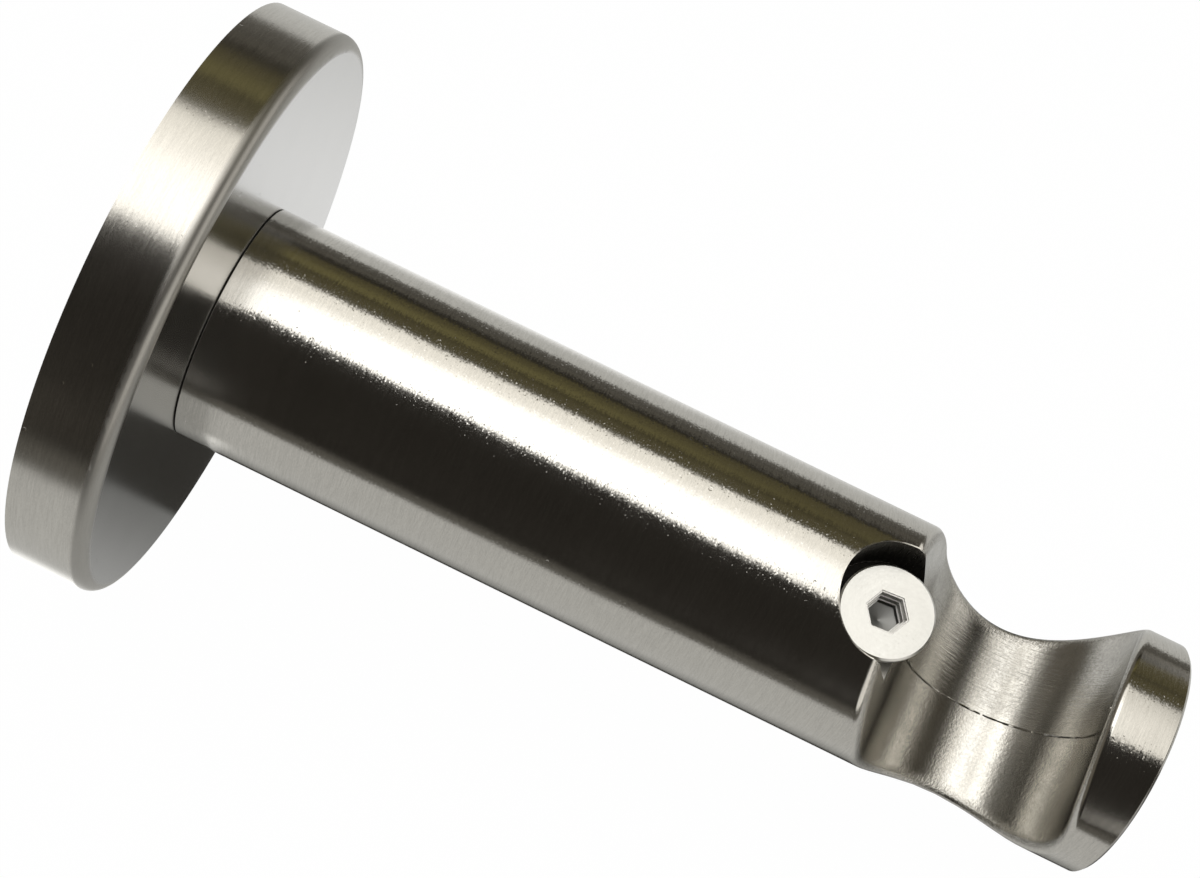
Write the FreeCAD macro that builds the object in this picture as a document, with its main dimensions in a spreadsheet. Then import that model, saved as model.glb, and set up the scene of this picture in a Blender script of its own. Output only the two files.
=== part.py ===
import FreeCAD, Part
import math
import os

import Sketcher

# Bracket for a 20 mm curtain pole: a solid round arm stands off the wall, seated on a flat round
# rose that hides the fixing plate. The pole drops into a leaning U-shaped saddle near the free
# end and is held by the head of a clamp screw.
#
# Frame: +Z up, wall face in the plane y = 0, arm along -Y, pole along X.
# The origin is the centre of the rose on the wall.

V = FreeCAD.Vector

# Driving sizes in mm and degrees; the names are the aliases of the sheet's cells
SIZES = [
    ("arm_diameter", 25.0, "round bar of the arm"),
    ("arm_length", 99.3, "rose face to free end"),
    ("base_chamfer", 0.15, "chamfer that leaves the fine joint line at the rose"),
    ("tip_chamfer", 0.3, "chamfer of the free end"),
    ("pole_diameter", 20.0, "pole that the saddle takes"),
    ("pole_clearance", 0.2, "saddle radius over pole radius"),
    ("seat_to_tip", 14.5, "pole axis to free end"),
    ("seat_rise", 2.85, "pole axis above the arm's axis"),
    ("slot_lean", 17.7, "lean of the saddle's walls towards the wall, degrees"),
    ("slot_draft", 1.1, "casting draft of each saddle wall, degrees"),
    ("rim_chamfer", 0.6, "chamfer of the saddle's rim"),
    ("screw_head_diameter", 9.7, "clamp screw, head"),
    ("screw_head_land", 0.7, "clamp screw, straight edge of the head"),
    ("screw_head_chamfer", 0.2, "clamp screw, chamfer round the top face"),
    ("screw_thread", 6.0, "clamp screw, M6 thread"),
    ("screw_length", 14.0, "clamp screw, whole length"),
    ("screw_tip_chamfer", 0.6, "clamp screw, chamfer of the end"),
    ("head_overlap", 0.9, "how far the head reaches over the saddle"),
    ("head_touch", 0.2, "gap between screw head and pole"),
    ("head_clearance", 1.15, "counterbore radius over head radius"),
    ("head_underspace", 0.6, "counterbore floor below the head's cone"),
    ("thread_clearance", 0.05, "radial gap in every thread, drawn as plain cylinders"),
    ("tap_runout", 1.5, "threaded hole beyond its screw"),
    ("socket_flats", 3.9, "clamp screw, hexagon key size"),
    ("socket_depth", 2.4, "clamp screw, hexagon depth"),
    ("socket_turn", 34.5, "clamp screw, hexagon turned from X, degrees"),
    ("rose_diameter", 61.3, "wall rose"),
    ("rose_depth", 8.3, "wall rose, front to back"),
    ("rose_rounding", 1.4, "wall rose, front edge"),
    ("rose_face_wall", 3.6, "wall rose, thickness of the face"),
    ("rose_rim_wall", 3.2, "wall rose, thickness of the rim"),
    ("plate_thickness", 4.3, "fixing plate"),
    ("plate_clearance", 0.25, "fixing plate, radial gap to the rose"),
    ("plate_centre_hole", 10.0, "fixing plate, middle hole"),
    ("plate_hole_circle", 36.0, "fixing plate, circle of the wall screw holes"),
    ("plate_hole", 4.8, "fixing plate, wall screw hole"),
    ("plate_countersink", 9.2, "fixing plate, countersink across"),
    ("plate_hole_count", 3, "fixing plate, number of wall screw holes"),
    ("groove_depth", 1.2, "fixing plate, V groove in the edge"),
    ("groove_to_wall", 2.3, "fixing plate, middle of the groove from the wall"),
    ("arm_screw_thread", 6.0, "arm screw, M6 thread"),
    ("arm_screw_head", 11.6, "arm screw, countersunk head"),
    ("arm_screw_length", 18.0, "arm screw, whole length"),
    ("arm_screw_key", 4.0, "arm screw, hexagon key size"),
    ("arm_screw_key_depth", 2.0, "arm screw, hexagon depth"),
    ("passing_clearance", 0.3, "radius of a plain hole over its screw"),
    ("seat_clearance", 0.03, "gap under a countersunk head"),
    ("grub_thread", 4.0, "grub screw, M4 thread"),
    ("grub_recess", 0.5, "grub screw sunk in the rose's rim"),
    ("grub_tip_diameter", 1.6, "grub screw, flat of the cone point"),
    ("grub_key", 2.0, "grub screw, hexagon key size"),
    ("grub_key_depth", 1.5, "grub screw, hexagon depth"),
]

# Places and sizes that follow from the driving ones
ARM_RADIUS = "Sizes.arm_diameter / 2"
SEAT_RADIUS = "(Sizes.pole_diameter / 2 + Sizes.pole_clearance)"
SEAT_REACH = "(Sizes.arm_length - Sizes.seat_to_tip)"
HEAD_RADIUS = "(Sizes.screw_head_diameter / 2)"
HEAD_OFFSET = f"({SEAT_RADIUS} - Sizes.head_overlap)"
SCREW_REACH = f"({SEAT_REACH} - {HEAD_OFFSET} - {HEAD_RADIUS})"
HEAD_TOP = (f"(Sizes.seat_rise + Sizes.screw_head_land"
            f" + sqrt((Sizes.pole_diameter / 2 + Sizes.head_touch) ^ 2 - {HEAD_OFFSET} ^ 2))")
HEAD_CONE = f"({HEAD_RADIUS} - Sizes.screw_thread / 2)"
BORE_FLOOR = f"({HEAD_TOP} - Sizes.screw_head_land - {HEAD_CONE} - Sizes.head_underspace)"
TAP_RADIUS = "(Sizes.screw_thread / 2 + Sizes.thread_clearance)"
TAP_END = f"({HEAD_TOP} - Sizes.screw_length - Sizes.tap_runout)"
ROSE_RADIUS = "(Sizes.rose_diameter / 2)"
CAVITY_RADIUS = f"({ROSE_RADIUS} - Sizes.rose_rim_wall)"
CAVITY_DEPTH = "(Sizes.rose_depth - Sizes.rose_face_wall)"
PLATE_RADIUS = f"({CAVITY_RADIUS} - Sizes.plate_clearance)"
ARM_TAP_RADIUS = "(Sizes.arm_screw_thread / 2 + Sizes.thread_clearance)"
ARM_TAP_DEPTH = "(Sizes.arm_screw_length - Sizes.rose_face_wall + Sizes.tap_runout)"
GRUB_TAP_RADIUS = "(Sizes.grub_thread / 2 + Sizes.thread_clearance)"
GRUB_LENGTH = (f"({ROSE_RADIUS} - Sizes.grub_recess - {PLATE_RADIUS}"
               " + Sizes.groove_depth - Sizes.grub_tip_diameter / 2 - Sizes.seat_clearance * sqrt(2))")
# A drill's point is a cone with sides at about 31 degrees to its base
DRILL_SLOPE = "tan(31deg)"
# How far a cutting profile reaches past the surface that it cuts
PAST = "1"
# Lengths and directions that differ by less than this are taken as equal
SAME = 0.001

document = FreeCAD.newDocument("pole_bracket")


def make_sheet():
    """The sheet of driving sizes: name, value and note in one row each."""
    sheet = document.addObject("Spreadsheet::Sheet", "Sizes")
    for row, (name, number, note) in enumerate(SIZES, start=1):
        sheet.set(f"A{row}", name)
        sheet.set(f"B{row}", str(number))
        sheet.set(f"C{row}", note)
        sheet.setAlias(f"B{row}", name)
    document.recompute()
    return sheet


SHEET = make_sheet()


def value(expression):
    """The number that an expression over the sheet has now."""
    return float(SHEET.evalExpression(expression))


def make_body(label, along_y=None, height=None):
    """A named body, placed along Y and in height by expressions."""
    body = document.addObject("PartDesign::Body", label)
    body.Label = label
    if along_y:
        body.setExpression("Placement.Base.y", along_y)
    if height:
        body.setExpression("Placement.Base.z", height)
    document.recompute()
    return body


def make_sketch(body, plane, name):
    """An empty sketch on one of the body's own origin planes."""
    sketch = body.newObject("Sketcher::SketchObject", name)
    support = next(part for part in body.Origin.OriginFeatures if part.Role == plane)
    sketch.AttachmentSupport = (support, "")
    sketch.MapMode = "FlatFace"
    return sketch


def pin(sketch, geometry, point, across, up):
    """Ties one point of the sketch to two expressions, measured from the sketch's origin."""
    for kind, expression in (("DistanceX", across), ("DistanceY", up)):
        tie = Sketcher.Constraint(kind, -1, 1, geometry, point, value(expression))
        sketch.setExpression(f"Constraints[{sketch.addConstraint(tie)}]", expression)


def join(sketch, first, second):
    """Joins the end of one element to the start of another."""
    sketch.addConstraint(Sketcher.Constraint("Coincident", first, 2, second, 1))


def draw_outline(sketch, corners):
    """A closed outline of straight lines through corners given as pairs of expressions."""
    points = [V(value(across), value(up), 0) for across, up in corners]
    lines = []
    for start, end in zip(points, points[1:] + points[:1]):
        lines.append(sketch.addGeometry(Part.LineSegment(start, end)))
    for line, following in zip(lines, lines[1:] + lines[:1]):
        join(sketch, line, following)
    for line, (across, up) in zip(lines, corners):
        pin(sketch, line, 1, across, up)
    return lines


def draw_hexagon(sketch, flats, turn):
    """A hexagon about the sketch's origin, by its size across flats."""
    corners = []
    for side in range(6):
        angle = f"({turn} + {side * 60}) * 1deg"
        reach = f"{flats} / sqrt(3)"
        corners.append((f"{reach} * cos({angle})", f"{reach} * sin({angle})"))
    draw_outline(sketch, corners)


def revolve(body, kind, plane, name, corners, axis=None):
    """Turns an outline about a sketch axis, or about a line through the given place.

    kind is Revolution to add or Groove to cut; axis is the sketch's own H_Axis or V_Axis, or a
    pair of points, each a pair of expressions, for an axis elsewhere.
    """
    sketch = make_sketch(body, plane, name + "_profile")
    draw_outline(sketch, corners)
    line = axis
    if not isinstance(axis, str):
        ends = [V(value(across), value(up), 0) for across, up in axis]
        geometry = sketch.addGeometry(Part.LineSegment(*ends), True)
        pin(sketch, geometry, 1, *axis[0])
        pin(sketch, geometry, 2, *axis[1])
        line = "Axis0"
    feature = body.newObject("PartDesign::" + kind, name)
    feature.Profile = sketch
    feature.ReferenceAxis = (sketch, [line])
    feature.Angle = 360
    body.Tip = feature
    document.recompute()
    return feature


def cut_pocket(body, sketch, name, depth=None, through=False, midplane=False, reverse=False):
    """Cuts a sketch out of the body and makes sure that something was cut."""
    before = body.Shape.Volume
    pocket = body.newObject("PartDesign::Pocket", name)
    pocket.Profile = sketch
    pocket.Type = "ThroughAll" if through else "Length"
    pocket.Midplane = midplane
    pocket.Reversed = reverse
    if depth:
        pocket.setExpression("Length", depth)
    body.Tip = pocket
    document.recompute()
    if not body.Shape.Volume < before:
        raise RuntimeError(name + " cuts nothing")
    return pocket


def soften(body, kind, base, name, size, wanted):
    """Takes the base's edges that the test picks off, by a Fillet or a Chamfer of the given size."""
    chosen = [f"Edge{number}" for number, edge in enumerate(base.Shape.Edges, start=1) if wanted(edge)]
    feature = body.newObject("PartDesign::" + kind, name)
    feature.Base = (base, chosen)
    feature.setExpression("Radius" if kind == "Fillet" else "Size", size)
    body.Tip = feature
    document.recompute()
    return feature


def is_circle(edge, radius):
    """Whether an edge is a full circle of the given radius."""
    return (edge.Curve.TypeId == "Part::GeomCircle" and edge.Closed
            and abs(edge.Curve.Radius - value(radius)) < SAME)


def make_wall_rose():
    """Turned cup: flat face towards the room, hollow towards the wall, grub screw hole below."""
    rose = make_body("wall_rose")
    hole = "(Sizes.arm_screw_thread / 2 + Sizes.passing_clearance)"
    sink = "(Sizes.arm_screw_head / 2 + Sizes.seat_clearance * sqrt(2))"
    turned = revolve(rose, "Revolution", "YZ_Plane", "turned_cup", [
        ("0", f"-{ROSE_RADIUS}"),
        ("-Sizes.rose_depth", f"-{ROSE_RADIUS}"),
        ("-Sizes.rose_depth", f"-{hole}"),
        (f"-{CAVITY_DEPTH} - ({sink} - {hole})", f"-{hole}"),
        (f"-{CAVITY_DEPTH}", f"-{sink}"),
        (f"-{CAVITY_DEPTH}", f"-{CAVITY_RADIUS}"),
        ("0", f"-{CAVITY_RADIUS}"),
    ], "H_Axis")
    front = value("-Sizes.rose_depth")
    soften(rose, "Fillet", turned, "front_rounding", "Sizes.rose_rounding",
           lambda edge: is_circle(edge, ROSE_RADIUS) and abs(edge.CenterOfMass.y - front) < SAME)
    revolve(rose, "Groove", "YZ_Plane", "grub_hole", [
        ("-Sizes.groove_to_wall", f"-{ROSE_RADIUS} - {PAST}"),
        (f"-Sizes.groove_to_wall - {GRUB_TAP_RADIUS}", f"-{ROSE_RADIUS} - {PAST}"),
        (f"-Sizes.groove_to_wall - {GRUB_TAP_RADIUS}", f"-{CAVITY_RADIUS} + {PAST}"),
        ("-Sizes.groove_to_wall", f"-{CAVITY_RADIUS} + {PAST}"),
    ], (("-Sizes.groove_to_wall", f"-{ROSE_RADIUS}"), ("-Sizes.groove_to_wall", "0")))
    return rose


def make_fixing_plate():
    """Steel disc screwed to the wall inside the rose, with a V groove for the grub screw."""
    plate = make_body("fixing_plate")
    revolve(plate, "Revolution", "YZ_Plane", "disc", [
        ("0", "-Sizes.plate_centre_hole / 2"),
        ("0", f"-{PLATE_RADIUS}"),
        ("-Sizes.groove_to_wall + Sizes.groove_depth", f"-{PLATE_RADIUS}"),
        ("-Sizes.groove_to_wall", f"-{PLATE_RADIUS} + Sizes.groove_depth"),
        ("-Sizes.groove_to_wall - Sizes.groove_depth", f"-{PLATE_RADIUS}"),
        ("-Sizes.plate_thickness", f"-{PLATE_RADIUS}"),
        ("-Sizes.plate_thickness", "-Sizes.plate_centre_hole / 2"),
    ], "H_Axis")
    middle = "Sizes.plate_hole_circle / 2"
    sink_depth = "(Sizes.plate_countersink - Sizes.plate_hole) / 2"
    hole = revolve(plate, "Groove", "YZ_Plane", "wall_screw_hole", [
        (PAST, middle),
        (PAST, f"{middle} + Sizes.plate_hole / 2"),
        (f"-Sizes.plate_thickness + {sink_depth}", f"{middle} + Sizes.plate_hole / 2"),
        ("-Sizes.plate_thickness", f"{middle} + Sizes.plate_countersink / 2"),
        (f"-Sizes.plate_thickness - {PAST}", f"{middle} + Sizes.plate_countersink / 2"),
        (f"-Sizes.plate_thickness - {PAST}", middle),
    ], ((PAST, middle), (f"-Sizes.plate_thickness - {PAST}", middle)))
    pattern = plate.newObject("PartDesign::PolarPattern", "wall_screw_holes")
    pattern.Originals = [hole]
    pattern.Axis = (next(part for part in plate.Origin.OriginFeatures if part.Role == "Y_Axis"), [""])
    pattern.Angle = 360
    pattern.setExpression("Occurrences", "Sizes.plate_hole_count")
    plate.Tip = pattern
    document.recompute()
    return plate


def draw_saddle(sketch):
    """The saddle's side view: an arc under the pole and two walls that lean towards the wall."""
    radius = value(SEAT_RADIUS)
    centre = V(-value(SEAT_REACH), value("Sizes.seat_rise"), 0)
    above = f"{ARM_RADIUS} + {PAST}"
    top = value(above)
    rear_lean = math.radians(value("Sizes.slot_lean + Sizes.slot_draft"))
    front_lean = math.radians(value("Sizes.slot_lean - Sizes.slot_draft"))
    rear_foot = centre + V(radius * math.cos(rear_lean), -radius * math.sin(rear_lean), 0)
    front_foot = centre + V(-radius * math.cos(front_lean), radius * math.sin(front_lean), 0)
    rear_top = V(rear_foot.x + (top - rear_foot.y) * math.tan(rear_lean), top, 0)
    front_top = V(front_foot.x + (top - front_foot.y) * math.tan(front_lean), top, 0)
    circle = Part.Circle(centre, V(0, 0, 1), radius)
    seat = sketch.addGeometry(Part.ArcOfCircle(circle, math.pi - front_lean, 2 * math.pi - rear_lean))
    rear = sketch.addGeometry(Part.LineSegment(rear_foot, rear_top))
    lid = sketch.addGeometry(Part.LineSegment(rear_top, front_top))
    front = sketch.addGeometry(Part.LineSegment(front_top, front_foot))
    sketch.addConstraint(Sketcher.Constraint("Tangent", seat, 2, rear, 1))
    join(sketch, rear, lid)
    join(sketch, lid, front)
    sketch.addConstraint(Sketcher.Constraint("Tangent", front, 2, seat, 1))
    sketch.addConstraint(Sketcher.Constraint("Horizontal", lid))
    pin(sketch, seat, 3, f"-{SEAT_REACH}", "Sizes.seat_rise")
    bound = (
        (Sketcher.Constraint("Radius", seat, radius), SEAT_RADIUS),
        (Sketcher.Constraint("Angle", -2, 1, rear, 1, -rear_lean),
         "-(Sizes.slot_lean + Sizes.slot_draft) * 1deg"),
        (Sketcher.Constraint("Angle", -2, 1, front, 2, -front_lean),
         "-(Sizes.slot_lean - Sizes.slot_draft) * 1deg"),
        (Sketcher.Constraint("DistanceY", -1, 1, lid, 1, top), above),
    )
    for constraint, expression in bound:
        sketch.setExpression(f"Constraints[{sketch.addConstraint(constraint)}]", expression)


def is_bar(face):
    """Whether a face is the outside of the arm's round bar."""
    return (face.Surface.TypeId == "Part::GeomCylinder" and abs(face.Surface.Axis.y) > 1 - SAME
            and abs(face.Surface.Radius - value(ARM_RADIUS)) < SAME)


def make_arm():
    """Round bar with the tapped base, the saddle, and the counterbore and tap of the clamp screw."""
    arm = make_body("arm", along_y="-Sizes.rose_depth")
    revolve(arm, "Revolution", "YZ_Plane", "bar", [
        ("0", f"-{ARM_TAP_RADIUS}"),
        ("0", f"-{ARM_RADIUS} + Sizes.base_chamfer"),
        ("-Sizes.base_chamfer", f"-{ARM_RADIUS}"),
        ("-Sizes.arm_length + Sizes.tip_chamfer", f"-{ARM_RADIUS}"),
        ("-Sizes.arm_length", f"-{ARM_RADIUS} + Sizes.tip_chamfer"),
        ("-Sizes.arm_length", "0"),
        (f"-{ARM_TAP_DEPTH} - {ARM_TAP_RADIUS} * {DRILL_SLOPE}", "0"),
        (f"-{ARM_TAP_DEPTH}", f"-{ARM_TAP_RADIUS}"),
    ], "H_Axis")
    sketch = make_sketch(arm, "YZ_Plane", "saddle_profile")
    draw_saddle(sketch)
    saddle = cut_pocket(arm, sketch, "saddle", through=True, midplane=True)

    def on_rim(edge):
        # The bar meets the saddle's seat and walls; at its ends it meets only cones
        faces = saddle.Shape.ancestorsOfType(edge, Part.Face)
        others = [face for face in faces if not is_bar(face)]
        return (len(faces) == 2 and len(others) == 1
                and others[0].Surface.TypeId in ("Part::GeomPlane", "Part::GeomCylinder"))

    soften(arm, "Chamfer", saddle, "rim", "Sizes.rim_chamfer", on_rim)
    revolve(arm, "Groove", "YZ_Plane", "screw_bore", [
        (f"-{SCREW_REACH}", f"{ARM_RADIUS} + {PAST}"),
        (f"-{SCREW_REACH} + {HEAD_RADIUS} + Sizes.head_clearance", f"{ARM_RADIUS} + {PAST}"),
        (f"-{SCREW_REACH} + {HEAD_RADIUS} + Sizes.head_clearance", BORE_FLOOR),
        (f"-{SCREW_REACH} + {TAP_RADIUS}", BORE_FLOOR),
        (f"-{SCREW_REACH} + {TAP_RADIUS}", TAP_END),
        (f"-{SCREW_REACH}", f"{TAP_END} - {TAP_RADIUS} * {DRILL_SLOPE}"),
    ], ((f"-{SCREW_REACH}", "0"), (f"-{SCREW_REACH}", f"{ARM_RADIUS}")))
    return arm


def make_clamp_screw():
    """Flat countersunk screw with a hexagon socket; the head's edge holds the pole down."""
    screw = make_body("clamp_screw", along_y=f"-Sizes.rose_depth - {SCREW_REACH}", height=HEAD_TOP)
    shank = "Sizes.screw_thread / 2"
    revolve(screw, "Revolution", "XZ_Plane", "blank", [
        ("0", "0"),
        (f"{HEAD_RADIUS} - Sizes.screw_head_chamfer", "0"),
        (HEAD_RADIUS, "-Sizes.screw_head_chamfer"),
        (HEAD_RADIUS, "-Sizes.screw_head_land"),
        (shank, f"-Sizes.screw_head_land - {HEAD_CONE}"),
        (shank, "-Sizes.screw_length + Sizes.screw_tip_chamfer"),
        (f"{shank} - Sizes.screw_tip_chamfer", "-Sizes.screw_length"),
        ("0", "-Sizes.screw_length"),
    ], "V_Axis")
    cut_key(screw, "XY_Plane", "Sizes.socket_flats", "Sizes.socket_depth", "Sizes.socket_turn")
    drill = "Sizes.socket_flats / 2"
    revolve(screw, "Groove", "XZ_Plane", "socket_drill", [
        ("0", f"-Sizes.socket_depth + {PAST}"),
        (drill, f"-Sizes.socket_depth + {PAST}"),
        (drill, "-Sizes.socket_depth"),
        ("0", f"-Sizes.socket_depth - {drill} * {DRILL_SLOPE}"),
    ], "V_Axis")
    return screw


def cut_key(body, plane, flats, depth, turn="0", reverse=False):
    """A hexagon socket cut from the body's origin plane."""
    sketch = make_sketch(body, plane, "socket_profile")
    draw_hexagon(sketch, flats, turn)
    return cut_pocket(body, sketch, "socket", depth=depth, reverse=reverse)


def make_arm_screw():
    """Countersunk screw that draws the arm against the rose's face from inside the cup."""
    screw = make_body("arm_screw", along_y=f"-{CAVITY_DEPTH}")
    head = "Sizes.arm_screw_head / 2"
    shank = "Sizes.arm_screw_thread / 2"
    revolve(screw, "Revolution", "YZ_Plane", "blank", [
        ("0", "0"),
        ("0", f"-{head}"),
        (f"-({head} - {shank})", f"-{shank}"),
        ("-Sizes.arm_screw_length + Sizes.screw_tip_chamfer", f"-{shank}"),
        ("-Sizes.arm_screw_length", f"-{shank} + Sizes.screw_tip_chamfer"),
        ("-Sizes.arm_screw_length", "0"),
    ], "H_Axis")
    cut_key(screw, "XZ_Plane", "Sizes.arm_screw_key", "Sizes.arm_screw_key_depth", reverse=True)
    return screw


def make_grub_screw():
    """Cone-point grub screw in the rose's rim, bearing in the plate's groove from below."""
    screw = make_body("grub_screw", along_y="-Sizes.groove_to_wall",
                      height=f"-{ROSE_RADIUS} + Sizes.grub_recess")
    radius = "Sizes.grub_thread / 2"
    revolve(screw, "Revolution", "XZ_Plane", "blank", [
        ("0", "0"),
        (radius, "0"),
        (radius, f"{GRUB_LENGTH} - {radius} + Sizes.grub_tip_diameter / 2"),
        ("Sizes.grub_tip_diameter / 2", GRUB_LENGTH),
        ("0", GRUB_LENGTH),
    ], "V_Axis")
    cut_key(screw, "XY_Plane", "Sizes.grub_key", "Sizes.grub_key_depth", reverse=True)
    return screw


def check(bodies):
    """Stops on any object that failed and on any body that isn't one valid solid."""
    failed = [item.Name for item in document.Objects
              if "Invalid" in item.State or "Error" in item.State]
    if failed:
        raise RuntimeError("failed objects: " + ", ".join(failed))
    for body in bodies:
        shape = body.Shape
        if shape.isNull() or not shape.isValid() or len(shape.Solids) != 1:
            raise RuntimeError(body.Label + " is not one valid solid")


def export(bodies):
    """Writes each body to its own file."""
    os.makedirs("parts", exist_ok=True)
    for body in bodies:
        body.Shape.exportStep(f"parts/{body.Label}.step")
        print(body.Label, round(body.Shape.Volume, 1), "mm3")


BODIES = [
    make_wall_rose(),
    make_fixing_plate(),
    make_arm(),
    make_clamp_screw(),
    make_arm_screw(),
    make_grub_screw(),
]
document.recompute()
check(BODIES)
export(BODIES)
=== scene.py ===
"""Looks of the curtain pole bracket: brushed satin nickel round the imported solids.

Everything is in metres, in the frame of the solids: wall face in the plane y = 0, arm along -Y,
pole along X, +Z up.
"""

import logging
import math
from collections.abc import Callable
from dataclasses import dataclass, field
from enum import Enum

import bmesh
import bpy
from mathutils import Matrix, Vector


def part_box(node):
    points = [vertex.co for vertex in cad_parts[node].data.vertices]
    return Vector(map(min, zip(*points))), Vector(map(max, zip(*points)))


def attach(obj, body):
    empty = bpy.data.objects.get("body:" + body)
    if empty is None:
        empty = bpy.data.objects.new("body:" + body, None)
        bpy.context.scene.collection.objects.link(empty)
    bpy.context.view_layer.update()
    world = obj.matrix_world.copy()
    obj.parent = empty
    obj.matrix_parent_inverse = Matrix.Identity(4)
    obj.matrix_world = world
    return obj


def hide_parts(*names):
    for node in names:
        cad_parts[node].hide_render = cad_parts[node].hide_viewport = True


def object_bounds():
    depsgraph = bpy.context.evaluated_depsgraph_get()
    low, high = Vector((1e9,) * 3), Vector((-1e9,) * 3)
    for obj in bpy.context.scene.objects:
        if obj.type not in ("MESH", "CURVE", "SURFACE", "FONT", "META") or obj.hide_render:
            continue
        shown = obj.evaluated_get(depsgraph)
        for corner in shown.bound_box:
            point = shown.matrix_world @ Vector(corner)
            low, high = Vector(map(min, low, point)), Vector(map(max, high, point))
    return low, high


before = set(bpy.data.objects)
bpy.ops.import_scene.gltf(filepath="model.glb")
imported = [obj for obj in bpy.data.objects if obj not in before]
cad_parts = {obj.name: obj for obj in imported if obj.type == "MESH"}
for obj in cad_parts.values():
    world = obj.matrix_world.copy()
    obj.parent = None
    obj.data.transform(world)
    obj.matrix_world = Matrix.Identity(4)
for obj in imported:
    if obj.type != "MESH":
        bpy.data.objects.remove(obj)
SOLID_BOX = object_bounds()
MM = 0.001

SCREW_LOW, SCREW_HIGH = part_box("clamp_screw")
SCREW_Y = (SCREW_LOW.y + SCREW_HIGH.y) / 2

log = logging.getLogger("bracket")

Piece = bpy.types.Object
Material = bpy.types.Material
Socket = bpy.types.NodeSocket
Pair = tuple[float, float]
Triple = tuple[float, float, float]
Given = Socket | float | Triple


# node trees


class Kind(Enum):
    """What a Mix node mixes: its data type, and the places of its sockets."""

    VALUE = ("FLOAT", 2, 3, 0)
    VECTOR = ("VECTOR", 4, 5, 1)
    COLOUR = ("RGBA", 6, 7, 2)


def darker(colour: Triple, share: float) -> Triple:
    """A colour taken down to a share of itself."""
    return tuple(channel * share for channel in colour)


@dataclass
class Graph:
    """A node tree with short calls for adding and joining nodes."""

    tree: bpy.types.NodeTree

    def add(self, kind: str, inputs: dict | None = None, **settings: object) -> bpy.types.Node:
        """Adds a node.

        Args:
            kind: The node's type without its ShaderNode prefix.
            inputs: Socket name or number to a plain value or to the socket that feeds it.
            settings: Attributes of the node.

        Returns:
            The new node.
        """
        node = self.tree.nodes.new("ShaderNode" + kind)
        for name, setting in settings.items():
            setattr(node, name, setting)
        for socket, given in (inputs or {}).items():
            self.feed(node.inputs[socket], given)
        return node

    def feed(self, socket: Socket, given: Given) -> None:
        """Joins a socket to another, or sets it to a plain value.

        Args:
            socket: The socket to feed.
            given: Another socket or a plain value. A plain colour gets full opacity.
        """
        if isinstance(given, Socket):
            self.tree.links.new(given, socket)
        else:
            socket.default_value = (*given, 1.0) if socket.type == "RGBA" else given

    def math(self, operation: str, *values: Given, clamp: bool = False) -> Socket:
        """The result of a Math node."""
        return self.add("Math", dict(enumerate(values)), operation=operation, use_clamp=clamp).outputs[0]

    def chain(self, operation: str, *values: Given) -> Socket:
        """Takes several values together in their order.

        Args:
            operation: The Math node's operation.
            values: What it takes together.

        Returns:
            The last result.
        """
        result = values[0]
        for value in values[1:]:
            result = self.math(operation, result, value)
        return result

    def product(self, *values: Given) -> Socket:
        """Several values multiplied together."""
        return self.chain("MULTIPLY", *values)

    def total(self, *values: Given) -> Socket:
        """Several values added up."""
        return self.chain("ADD", *values)

    def swing(self, value: Socket, *shares: Given) -> Socket:
        """A value about one half made one about zero, times its shares."""
        return self.product(self.math("SUBTRACT", value, 0.5), *shares)

    def vector(self, operation: str, first: Given, second: Given | None = None) -> Socket:
        """The vector result of a Vector Math node.

        Args:
            operation: The node's operation.
            first: A vector.
            second: A vector, or the factor of a SCALE.

        Returns:
            The result.
        """
        inputs = {0: first}
        if second is not None:
            inputs["Scale" if operation == "SCALE" else 1] = second
        return self.add("VectorMath", inputs, operation=operation).outputs["Vector"]

    def reach(self, place: Socket, centre: Triple, keep: Triple) -> Socket:
        """Distance from a point, or from an axis where keep drops a coordinate."""
        offset = self.vector("MULTIPLY", self.vector("SUBTRACT", place, centre), keep)
        return self.add("VectorMath", {0: offset}, operation="LENGTH").outputs["Value"]

    def ramp(self, source: Given, low: float, high: float, to_low: float = 0.0, to_high: float = 1.0,
             smooth: bool = True) -> Socket:
        """Takes a value from one range to another, held at both ends.

        Args:
            source: The value.
            low: Where the range starts; it may lie above its end.
            high: Where the range ends.
            to_low: Result at the start.
            to_high: Result at the end.
            smooth: Whether the way between is eased.

        Returns:
            The result.
        """
        inputs = {"Value": source, "From Min": low, "From Max": high, "To Min": to_low, "To Max": to_high}
        way = "SMOOTHSTEP" if smooth else "LINEAR"
        return self.add("MapRange", inputs, interpolation_type=way).outputs["Result"]

    def mix(self, kind: Kind, factor: Given, first: Given, second: Given) -> Socket:
        """Mixes two values, vectors or colours.

        Args:
            kind: What they are.
            factor: The share of the second.
            first: The one at factor zero.
            second: The one at factor one.

        Returns:
            The mix.
        """
        data, lower, upper, result = kind.value
        return self.add("Mix", {0: factor, lower: first, upper: second}, data_type=data).outputs[result]

    def tint(self, factor: Given, first: Given, second: Given) -> Socket:
        """A mix of two colours."""
        return self.mix(Kind.COLOUR, factor, first, second)

    def noise(self, place: Socket, scale: float, detail: float = 2.0, rough: float = 0.5) -> Socket:
        """A noise value about one half."""
        inputs = {"Vector": place, "Scale": scale, "Detail": detail, "Roughness": rough}
        return self.add("TexNoise", inputs).outputs[0]


# studio


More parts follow.
